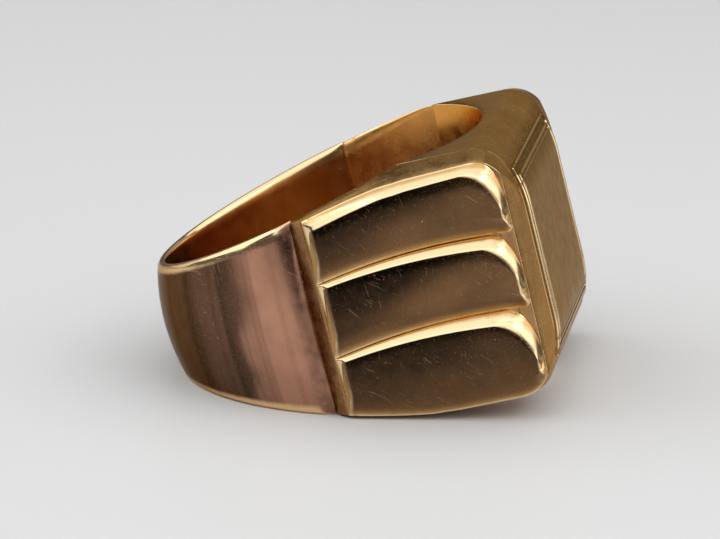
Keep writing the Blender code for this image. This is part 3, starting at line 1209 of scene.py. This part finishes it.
    def rib_station(self, place: RibPlace, row: RibRow) -> RibStation:
        """The cross-section of a rib at one cut, with its start and its end rolled down.

        Args:
            place: Which rib of the shoulder it is.
            row: Where the rib is cut.

        Returns:
            The cross-section.
        """
        shape, wear = RIB_SHAPES[place], self.wear
        low_edge, high_edge = self.rib_edges(place)
        start, end = self.rib_ends
        past_start = row.top_x - (start + self.start_slope)
        to_end = end - self.end_slope - row.top_x
        along = (row.top_x - start) / (end - start)
        into = max(1 - past_start / self.start_round, 0.0)
        bevel = lerp(shape.start_bevel, shape.end_bevel, along)
        bevel += self.start_round * (1 - math.sqrt(1 - into**2))
        low = min(max(1 - (end - row.foot_x) / self.low_round, 0.0), 1.0)
        low = self.low_round * (1 - math.sqrt(1 - low**2))
        roll = lerp(self.roll, self.end_roll, row.fall)
        foot_top = high_edge(row.foot_x) - shape.foot_corner[1] * row.fall
        face_top = high_edge(row.top_x) - bevel - shape.corner[1] * row.fall
        height = lerp(self.start_height, self.end_height, along)
        height *= 1 - self.start_fall * max(1 - past_start / self.start_run, 0.0) ** 2
        height *= 1 - self.end_fall * max(1 - to_end / self.end_run, 0.0) ** 2
        # The start cap and the end get a painted warm reflection, and the painted shade is cleared
        # there and on the worn start
        capped = 1 - ease(past_start, 0.0, self.start_cap)
        ended = 1 - ease(to_end, 0.0, self.end_run)
        started = 1 - ease(past_start, wear.start_core * self.start_run, self.start_run)
        worn = max(wear.start_rubbed * started * (1 - capped), wear.end_rubbed * ended)
        clean = 1 - max(worn, ended, capped)
        return RibStation(
            row=row,
            foot=(low_edge(row.foot_x) + low, foot_top),
            top=(low_edge(row.top_x) + roll + low, face_top),
            height=height,
            along=along,
            worn=worn,
            warm=max(wear.cap_warm * capped, ended),
            shade=(shape.shade[0] * clean, shape.shade[1] * clean),
        )

    def rib_roll(self, station: RibStation) -> list[MarkedPoint]:
        """The lower side of a rib: its sunk foot and the soft roll up to its face.

        Args:
            station: Where the rib is cut.

        Returns:
            The points from the foot up, over the ribs' flat, each with its marks.
        """
        row, wear = station.row, self.wear
        # The sunk foot darkens the bottom of the groove
        outline = [((row.foot_x, station.foot[0], -self.sink), 0.0, wear.foot_grime, 0.0)]
        for share in spread(0.0, 1.0, self.roll_steps):
            lift = station.height * (1 - self.roll_drop * (1 - share) ** 2)
            x, z = lerp(row.foot_x, row.top_x, share), lerp(station.foot[0], station.top[0], share)
            # By the groove the roll is lightened and warmed as a painted reflection; painted shade
            # rises towards the face
            low = 1 - ease(share, 0.0, wear.roll_end)
            rubbed = max(wear.roll_painted_light * low, station.worn)
            warm = max(wear.roll_warm * low, station.warm)
            high = ease(share, wear.roll_shade_start, 1.0)
            shade = wear.roll_shade * wear.shade(station, 0.0) * high
            outline.append(((x, z, lift), rubbed, shade, warm))
        return outline

    def rib_face(self, station: RibStation) -> list[MarkedPoint]:
        """The slightly crowned face of a rib, as far as its upper edge's round.

        Args:
            station: Where the rib is cut.

        Returns:
            The points from the roll on, over the ribs' flat, each with its marks.
        """
        wear, x = self.wear, station.row.top_x
        width = station.top[1] - station.top[0]
        pillow = min(self.pillow, self.pillow_share * width)
        back = lerp(self.edge_round, pillow, station.row.reach) / width
        outline = []
        for share in spread(0.0, 1 - back, self.face_steps)[1:]:
            lift = station.height + self.crown * 4 * share * (1 - share)
            # Painted shade, deepest under the bevel
            deep = lerp(wear.face_low, 1.0, ease(share, 0.0, wear.face_deep))
            shade = wear.shade(station, share) * deep
            point = (x, lerp(*station.top, share), lift)
            outline.append((point, station.worn, shade, station.warm))
        return outline

    def rib_bevel(self, station: RibStation, onto_face: Point) -> list[MarkedPoint]:
        """The upper side of a rib: the round of its edge, its bevel and its sunk foot.

        Args:
            station: Where the rib is cut.
            onto_face: Where the round meets the face.

        Returns:
            The points from the face on, over the ribs' flat, each with its marks.
        """
        # dim is painted shade over the edge and bevel near the rib's end
        row, wear, dim = station.row, self.wear, self.wear.dim(station)
        corner = (row.top_x, station.top[1], station.height)
        foot = (row.foot_x, station.foot[1], 0.0)
        edge = min(self.edge_round / math.dist(corner, foot), self.edge_share[0])
        onto_bevel = between(corner, foot, lerp(edge, self.edge_share[1], row.reach))
        outline = []
        for share in spread(0.0, 1.0, self.edge_steps)[1:]:
            near, far = between(onto_face, corner, share), between(corner, onto_bevel, share)
            # Round the upper corner the edge turns into the end wall, which takes a painted warm
            # reflection
            wall = row.reach * ease(share, wear.wall_start, 1.0)
            bright = ease(share, 0.0, wear.edge_bright)
            rubbed = bright * (1 - wear.wall_reflection_share * wall)
            outline.append((between(near, far, share), rubbed, dim * bright, wall))
        for share in spread(0.0, 1.0, self.bevel_steps)[1:]:
            x, z, lift = between(onto_bevel, foot, share)
            lift += self.bevel_crown * 4 * share * (1 - share)
            # Towards the foot, the rubbed gold gives way to a painted warm reflection
            high = max(ease(share, *wear.bevel_fade), row.reach)
            outline.append(((x, z, lift), 1 - wear.bevel_reflection_share * high, dim, high))
        outline.append(((row.foot_x, station.foot[1], -self.sink), wear.seam_rubbed, 0.0, 1.0))
        return outline

    def rib_section(self, station: RibStation) -> list[MarkedPoint]:
        """Outline across a rib: a soft roll below, a slightly crowned face and a bevel above.

        Args:
            station: Where the rib is cut.

        Returns:
            Each point in the ring's own axes, with how far it is rubbed bright, how dark its
            painted shade is and how strong its painted warm reflection.
        """
        outline = [*self.rib_roll(station), *self.rib_face(station)]
        outline += self.rib_bevel(station, outline[-1][0])
        return [(self.form.seat_point(*point, self.side), *marks) for point, *marks in outline]

    def joint_grime(self, place: Vector, normal: Vector) -> float:
        """Painted shade in the valley where the cheek meets the band, on the outside.

        Args:
            place: A point of the cheek.
            normal: The surface's normal there.

        Returns:
            How deep the painted shade is.
        """
        start = self.form.shoulder_start
        into = ease(place.x, start + self.valley_fade[0], start + self.valley_fade[1])
        return self.valley_grime * (1 - into) * (1 - facing_bore(place, normal))

    def build_rib(self, place: RibPlace) -> bpy.types.Object:
        """Skin one rib.

        Args:
            place: Which rib of the shoulder it is.

        Returns:
            The dressed rib.
        """
        name = f"{self.side.name.lower()}_{place.value}"
        rows = self.rib_rows(RIB_SHAPES[place])
        outlines = [self.rib_section(self.rib_station(place, row)) for row in rows]
        points = [[entry[0] for entry in outline] for outline in outlines]
        marks = {}
        for i, mark in enumerate((Mark.RUBBED, Mark.GRIME, Mark.WARM), start=1):
            marks[mark] = [[entry[i] for entry in outline] for outline in outlines]
        piece = bridge_sections(f"louvre_{name}", points, marks, fanned=True)
        piece.data.materials.append(self.rib_finish.material())
        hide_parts(f"rib_{name}")
        return piece

    def build(self) -> list[bpy.types.Object]:
        """Build the cheek and its ribs."""
        return [self.build_cheek(), *(self.build_rib(place) for place in RibPlace)]


@dataclass(frozen=True)
class BorderLine:
    """A plain line cut round the table: how far inside its edge, half its width and its depth."""

    inset: float
    width: float
    depth: float


@dataclass
class Head:
    """The box head: a collar with a sloped band round the table, a lining and the signet plate."""

    form: RingForm
    collar_finish: GoldFinish
    lining_finish: GoldFinish
    plate_finish: GoldFinish
    arris_round: float = 0.1 * MM
    arris_steps: int = 3
    wall_slant: float = 0.02 * MM
    edge_round: float = 0.1 * MM
    sharp: float = math.radians(45)
    plate_round: float = 0.1 * MM
    plate_round_steps: int = 4
    border_lines: tuple[BorderLine, ...] = (
        BorderLine(inset=0.5 * MM, width=0.1 * MM, depth=0.07 * MM),
        BorderLine(inset=0.8 * MM, width=0.06 * MM, depth=0.04 * MM),
    )
    border_rest: float = 0.06 * MM
    table_steps: int = 24
    flat_steps: int = 8
    round_steps: int = 16
    side_steps: int = 5
    wall_steps: int = 2
    bore_steps: int = 40
    band_steps: int = 8
    inner_steps: int = 4
    plate_end_margin: float = 0.55 * MM
    plate_side_margin: float = 1.55 * MM
    plate_thickness: float = 0.9 * MM
    plate_ledge: float = 0.7 * MM
    lining_thickness: float = 0.8 * MM
    facing_table: Span = (0.3, 0.6)
    arris_core: float = 0.2
    band_dark_depth: float = 0.7
    band_dark_fade: Span = (0.05 * MM, 0.3 * MM)

    def collar_section(self, y: float, top: float, inner: float) -> list[Point]:
        """Outline of the collar across the table at one distance from its middle.

        Args:
            y: The distance, with its side's sign.
            top: Height of the table or of the sloped band there.
            inner: Height of the bore or of the flange's underside there.

        Returns:
            The closed outline.
        """
        form = self.form
        past = max(abs(y) - form.wall_reach, 0.0)
        narrowed = 1 - 2 * form.side_fall * past / form.head_width
        flat = form.table_half_width(top) if top < form.arris_height else form.table_flat / 2
        half = [(top, z) for z in spread(0.0, flat, self.flat_steps)]
        for share in spread(0.0, 1.0, self.round_steps)[1:]:
            x = lerp(top, form.flange_foot, 1 - math.cos(share * math.pi / 2))
            half.append((x, form.table_half_width(x)))
        foot = max(form.table_corner[0], inner)
        for x in spread(form.flange_foot, foot, self.side_steps)[1:]:
            half.append((x, form.table_half_width(x)))
        side = form.table_half_width(foot)
        half += [(x, side) for x in spread(foot, inner, self.wall_steps)[1:]]
        half += [(inner, side * share) for share in spread(1.0, 0.0, self.inner_steps)[1:]]
        loop = half + [(x, -z) for x, z in reversed(half[1:-1])]
        return [(x, y, z * narrowed) for x, z in loop]

    def band_top(self, y: float) -> float:
        """Height of the table, rounded over the arris and then falling along the band.

        Args:
            y: Distance from the table's middle, with its side's sign.

        Returns:
            The height over the bore's axis.
        """
        form = self.form
        slope = form.band_rise / form.band_run
        past = abs(y) - form.arris_reach
        if past > self.arris_round:
            return form.arris_height - slope * past
        share = max(0.5 + past / (2 * self.arris_round), 0.0)
        return form.arris_height - slope * self.arris_round * share**2

    def build_collar(self) -> bpy.types.Object:
        """Skin the collar from one sloped band over the table's frame to the other.

        Returns:
            The dressed collar.
        """
        form = self.form
        outer = form.seat_y(form.band_foot)
        low, high = form.arris_reach - self.arris_round, form.arris_reach + self.arris_round
        across = [-form.wall_reach, *spread(-low, low, self.bore_steps), form.wall_reach]
        middle = [(y, self.band_top(y), math.sqrt(form.bore_radius**2 - y**2)) for y in across]
        reaches = [form.wall_reach + self.wall_slant]
        reaches += spread(form.arris_reach, high, self.arris_steps)
        reaches += spread(high, outer, self.band_steps)[1:]
        ends = [(y, self.band_top(y), form.flange_foot) for y in reaches]
        stations = [(-y, top, inner) for y, top, inner in reversed(ends)] + middle + ends
        sections = [self.collar_section(*station) for station in stations]
        piece = bridge_sections("collar_frame", sections)
        soften_edges(piece, self.edge_round, self.sharp)
        mark_points(piece, Mark.RUBBED, self.arris_wear)
        mark_points(piece, Mark.GRIME, self.band_grime)
        # A painted warm reflection in the bore
        mark_points(piece, Mark.WARM, facing_bore)
        piece.data.materials.append(self.collar_finish.material())
        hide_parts("head_collar")
        return piece

    def arris_wear(self, place: Vector, normal: Vector) -> float:
        """Bright gold along the arris between the table and the sloped bands.

        Args:
            place: A point of the collar.
            normal: The surface's normal there.

        Returns:
            How far it is rubbed.
        """
        away = abs(abs(place.y) - self.form.arris_reach)
        near = 1 - ease(away, self.arris_core * self.arris_round, self.arris_round)
        return near * ease(normal.x, *self.facing_table)

    def band_grime(self, place: Vector, normal: Vector) -> float:
        """Dark gold at the foot of the sloped bands, where the ribs end against them.

        Args:
            place: A point of the collar.
            normal: The surface's normal there.

        Returns:
            How dark it is.
        """
        left = self.form.seat_y(self.form.band_foot) - abs(place.y)
        near = 1 - ease(left, *self.band_dark_fade)
        return self.band_dark_depth * near * ease(normal.x, *self.facing_table)

    def table_drop(self, y: float, z: float, half: Span) -> float:
        """How far the table lies below its crown, in the border lines and on its rounded edge.

        Args:
            y: Place along the table.
            z: Place across the table.
            half: Half the table's length and half its width.

        Returns:
            The depth below the crown.
        """
        edge = min(half[0] - abs(y), half[1] - abs(z))
        drop = 0.0
        for line in self.border_lines:
            drop = max(drop, line.depth * (1 - abs(edge - line.inset) / line.width))
        into = max(1 - edge / self.plate_round, 0.0)
        return drop + self.plate_round * (1 - math.sqrt(1 - into**2))

    def table_grid(self, half: float) -> list[float]:
        """Places across the table, with a place on each side of every border line.

        Args:
            half: Half the table's length or width.

        Returns:
            The places in order.
        """
        steps = spread(0.0, math.pi / 2, self.plate_round_steps)
        insets = [self.plate_round * (1 - math.cos(turn)) for turn in steps]
        for line in self.border_lines:
            insets += [line.inset - line.width, line.inset, line.inset + line.width]
        insets.append(max(insets) + self.border_rest)
        inner = half - max(insets)
        outer = sorted(half - inset for inset in insets)
        across = spread(-inner, inner, self.table_steps)
        return [-place for place in reversed(outer[1:])] + across + outer[1:]

    @property
    def plate_half(self) -> Span:
        """Half the plate's length and half its width."""
        half_length = self.form.arris_reach - self.plate_end_margin
        return half_length, self.form.head_width / 2 - self.plate_side_margin

    def build_plate(self) -> bpy.types.Object:
        """Skin the signet plate, with plain border lines cut round its table.

        The quads are split along their longer diagonals, which mitres the lines at the corners.

        Returns:
            The dressed plate.
        """
        form, half = self.form, self.plate_half
        crown_x = form.arris_height - form.table_crown_radius + form.plate_proud
        under = form.arris_height + form.plate_proud - self.plate_thickness
        sections = []
        for y in self.table_grid(half[0]):
            section = [(under, y, -half[1])]
            for z in self.table_grid(half[1]):
                past = max(abs(z) - form.table_flat / 2, 0.0)
                top = crown_x + math.sqrt(form.table_crown_radius**2 - past**2)
                section.append((top - self.table_drop(y, z, half), y, z))
            sections.append([*section, (under, y, half[1])])
        piece = bridge_sections("signet_table", sections)
        with editing(piece):
            bpy.ops.mesh.select_all(action="SELECT")
            bpy.ops.mesh.quads_convert_to_tris(quad_method="LONGEST_DIAGONAL")
        piece.data.materials.append(self.plate_finish.material())
        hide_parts("signet_plate")
        return piece

    def build_lining(self) -> bpy.types.Object:
        """Spin the curved plate that closes the head towards the finger.

        Returns:
            The dressed lining.
        """
        radius, thickness = self.form.bore_radius, self.lining_thickness
        reach, half_z = (half - self.plate_ledge for half in self.plate_half)
        sweep = 2 * math.asin(reach / radius)
        middle, axis = (0.0, 0.0, 0.0), (0.0, 0.0, 1.0)
        deselect_all()
        bpy.ops.mesh.primitive_plane_add(size=1.0, rotation=(math.pi / 2, 0.0, 0.0))
        piece = bpy.context.object
        piece.name = "head_back"
        bpy.ops.object.transform_apply(location=True, rotation=True, scale=True)
        with editing(piece):
            bpy.ops.mesh.select_all(action="SELECT")
            bpy.ops.transform.resize(value=(thickness, 1.0, 2 * half_z))
            bpy.ops.transform.translate(value=(radius + thickness / 2, 0.0, 0.0))
            bpy.ops.transform.rotate(value=sweep / 2, orient_axis="Z", center_override=middle)
            bpy.ops.mesh.spin(steps=self.bore_steps, angle=-sweep, center=middle, axis=axis)
            bpy.ops.mesh.select_all(action="SELECT")
            bpy.ops.mesh.normals_make_consistent(inside=False)
        # A painted warm reflection on the side towards the finger
        mark_points(piece, Mark.WARM, facing_bore)
        piece.data.materials.append(self.lining_finish.material())
        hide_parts("head_lining")
        return piece

    def build(self) -> list[bpy.types.Object]:
        """Build the collar, the lining and the plate."""
        return [self.build_collar(), self.build_lining(), self.build_plate()]


@dataclass(frozen=True)
class SoftBox:
    """A soft lamp: where its middle is, its width and height, and how bright its front looks."""

    name: str
    place: Point
    size: Span
    radiance: float
    level: bool = False


SOFT_BOXES = (
    SoftBox("overhead_box", (-0.03, -0.01, 0.22), (0.54, 0.42), 1.15, level=True),
    SoftBox("front_box", (-0.03, -0.27, 0.2), (0.46, 0.16), 1.25),
    SoftBox("left_box", (-0.25, -0.02, 0.13), (0.25, 0.16), 1.7),
    SoftBox("right_box", (0.27, -0.07, 0.14), (0.44, 0.27), 1.4),
    SoftBox("back_box", (0.12, 0.34, 0.14), (0.5, 0.24), 0.3),
    SoftBox("back_left_box", (-0.3, 0.26, 0.12), (0.3, 0.22), 0.9),
    SoftBox("back_right_box", (0.33, 0.23, 0.1), (0.2, 0.18), 0.45),
)


@dataclass
class Studio:
    """A pale table, soft lamps and the camera."""

    form: RingForm
    distance: float = 300 * MM
    azimuth: float = math.radians(8.196)
    elevation: float = math.radians(14.127)
    pixels_per_mm: float = 18.338
    image_width: int = 720
    image_height: int = 539
    centre_pixel: Span = (346.059, 273.371)
    sensor_width: float = 36.0
    floor_size: float = 3.0
    floor_colour: Colour = (0.66, 0.66, 0.66)
    floor_roughness: float = 0.45
    floor_specular: float = 0.15
    room_colour: Colour = (0.1, 0.1, 0.1)
    clip_start: float = 3 * MM
    clip_end: float = 12.0

    def build_camera(self) -> None:
        """Place the camera where the photograph was taken from."""
        azimuth, elevation = self.azimuth, self.elevation
        level = Vector((-math.sin(azimuth), math.cos(azimuth), 0.0))
        ahead = level * math.cos(elevation) + Vector((0.0, 0.0, -math.sin(elevation)))
        right = Vector((math.cos(azimuth), math.sin(azimuth), 0.0))
        up = right.cross(ahead)
        focal_pixels = self.pixels_per_mm * self.distance * PER_MM
        across = (self.centre_pixel[0] - self.image_width / 2) / focal_pixels
        down = (self.centre_pixel[1] - self.image_height / 2) / focal_pixels
        data = bpy.data.cameras.new("camera")
        data.sensor_width = self.sensor_width
        data.lens = focal_pixels / self.image_width * self.sensor_width
        data.clip_start = self.clip_start
        data.clip_end = self.clip_end
        camera = bpy.data.objects.new("camera", data)
        place = self.form.centre - self.distance * (ahead + right * across - up * down)
        turn = Matrix((right, up, -ahead)).transposed().to_4x4()
        camera.matrix_world = Matrix.Translation(place) @ turn
        bpy.context.scene.collection.objects.link(camera)
        bpy.context.scene.camera = camera

    def build_floor(self) -> None:
        """Lay the pale table."""
        deselect_all()
        bpy.ops.mesh.primitive_plane_add(size=self.floor_size)
        floor = bpy.context.object
        floor.name = "table_top"
        material = bpy.data.materials.new("pale_table")
        material.use_nodes = True
        shader = material.node_tree.nodes["Principled BSDF"]
        shader.inputs["Base Color"].default_value = (*self.floor_colour, 1.0)
        shader.inputs["Roughness"].default_value = self.floor_roughness
        shader.inputs["Specular IOR Level"].default_value = self.floor_specular
        floor.data.materials.append(material)

    def build_lamp(self, box: SoftBox) -> None:
        """Hang a soft box that faces the ring, or straight down where it hangs level.

        Args:
            box: The soft box.
        """
        data = bpy.data.lights.new(box.name, "AREA")
        data.shape = "RECTANGLE"
        data.size, data.size_y = box.size
        data.energy = box.radiance * math.pi * box.size[0] * box.size[1]
        lamp = bpy.data.objects.new(box.name, data)
        lamp.location = box.place
        if not box.level:
            towards = self.form.centre - lamp.location
            lamp.rotation_euler = towards.to_track_quat("-Z", "Y").to_euler()
        lamp.visible_camera = False
        bpy.context.scene.collection.objects.link(lamp)

    def build_world(self) -> None:
        """Set the soft light of the room."""
        world = bpy.data.worlds.new("room")
        world.use_nodes = True
        background = world.node_tree.nodes["Background"]
        background.inputs["Color"].default_value = (*self.room_colour, 1.0)
        bpy.context.scene.world = world

    def build(self) -> None:
        """Set up the camera, table and light."""
        self.build_camera()
        self.build_floor()
        self.build_world()
        for box in SOFT_BOXES:
            self.build_lamp(box)
        bpy.context.scene.view_settings.view_transform = "Standard"


CREAM = (0.86, 0.66, 0.38)
# The near-black tarnish-and-shade colour is painted shade: the reflection bands darken the band
# towards it away from its joints
SHANK_GOLD = GoldFinish(
    "shank_gold",
    tarnish_and_shade=(0.045, 0.025, 0.015),
    body=(0.55, 0.275, 0.18),
    rubbed=(0.86, 0.6, 0.33),
    roughness=0.22,
    edge_tint=(0.58, 0.48, 0.4),
    warm=(0.5, 0.26, 0.09),
    reflection_bands=ReflectionBands(),
    grime=(0.14, 0.07, 0.046),
)
CHEEK_GOLD = GoldFinish(
    "cheek_gold",
    tarnish_and_shade=(0.42, 0.25, 0.115),
    body=(0.55, 0.33, 0.15),
    rubbed=CREAM,
    roughness=0.26,
    warm=(0.64, 0.31, 0.085),
    grime=(0.2, 0.085, 0.035),
)
# Far darker than the cheek's gold of the same metal, with a near-black grime-and-shade colour:
# painted shade on the rib faces
RIB_GOLD = GoldFinish(
    "rib_gold",
    tarnish_and_shade=(0.16, 0.085, 0.04),
    body=(0.215, 0.112, 0.05),
    rubbed=CREAM,
    roughness=0.17,
    edge_tint=(0.9, 0.77, 0.6),
    grain=0.06,
    grime=(0.02, 0.0125, 0.008),
    broken_grime=0.9,
    hairline_share=0.15,
)
COLLAR_GOLD = GoldFinish(
    "collar_gold",
    tarnish_and_shade=(0.38, 0.212, 0.09),
    body=(0.49, 0.278, 0.118),
    rubbed=CREAM,
    roughness=0.25,
    edge_tint=(0.74, 0.55, 0.34),
    warm=(0.68, 0.31, 0.07),
)
LINING_GOLD = GoldFinish(
    "lining_gold",
    tarnish_and_shade=(0.4, 0.18, 0.05),
    body=(0.5, 0.24, 0.08),
    rubbed=(0.8, 0.5, 0.24),
    roughness=0.32,
    warm=(0.68, 0.31, 0.07),
)
PLATE_GOLD = GoldFinish(
    "plate_gold",
    tarnish_and_shade=(0.235, 0.144, 0.061),
    body=(0.3, 0.185, 0.077),
    rubbed=CREAM,
    roughness=0.22,
    edge_tint=(0.62, 0.45, 0.28),
    patch_scale=0.12,
)


def main() -> None:
    """Build the ring's pieces in order, lay them down and light them."""
    logging.basicConfig(level=logging.INFO, format="%(name)s: %(message)s")
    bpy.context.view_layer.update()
    form = RingForm()
    pieces = [Shank(form, SHANK_GOLD).build()]
    for side in Side:
        pieces += Shoulder(form, side, CHEEK_GOLD, RIB_GOLD).build()
    pieces += Head(form, COLLAR_GOLD, LINING_GOLD, PLATE_GOLD).build()
    for piece in pieces:
        form.lay_down(piece)
        mark_rubbed_edges(piece)
        make_active(piece)
        bpy.ops.object.shade_smooth_by_angle(angle=SMOOTH)
        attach(piece, BODY)
        LOG.info("%s: %d faces", piece.name, len(piece.data.polygons))
    Studio(form).build()


if __name__ == "__main__":
    main()
